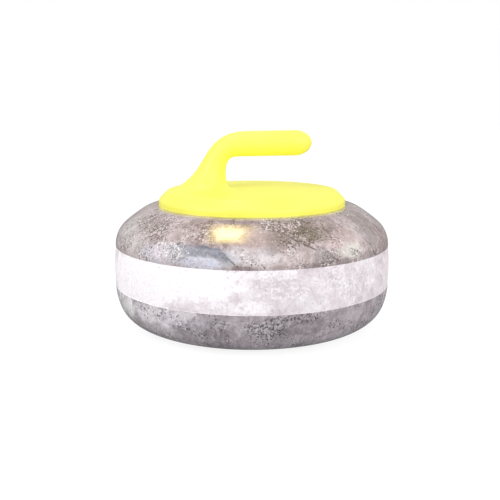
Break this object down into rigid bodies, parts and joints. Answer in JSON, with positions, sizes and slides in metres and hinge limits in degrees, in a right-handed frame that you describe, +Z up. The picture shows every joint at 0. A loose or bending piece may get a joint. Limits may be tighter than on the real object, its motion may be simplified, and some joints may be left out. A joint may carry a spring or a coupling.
{
  "type": "curling stone",
  "caption": "Turned granite curling stone with a pale striking band and a one-piece plastic disc handle with a gooseneck grip, held by a through bolt.",
  "frame": {"origin": "centre of the ring that touches the ice, on the stone's axis", "axes": "+Z up along the stone's axis; +X the way the grip's free end points; the XZ plane cuts the grip in half"},
  "size_m": [0.289, 0.289, 0.1997],
  "materials": {
    "granite": "polished",
    "insert_granite": "satin",
    "epoxy": "satin",
    "handle_plastic": "satin",
    "brass": "satin",
    "bolt_steel": "satin",
    "washer_steel": "satin",
    "rubber": "matte",
    "nylon": "matte"
  },
  "bodies": {
    "root": {"granite_body": "granite", "running_band_insert": "insert_granite", "insert_bond": "epoxy", "handle": "handle_plastic", "thread_insert": "brass", "handle_bolt": "bolt_steel", "lock_washer": "washer_steel", "load_washer": "washer_steel", "rubber_washer": "rubber", "top_bushing": "nylon", "lower_bushing": "nylon"}
  },
  "joints": []
}
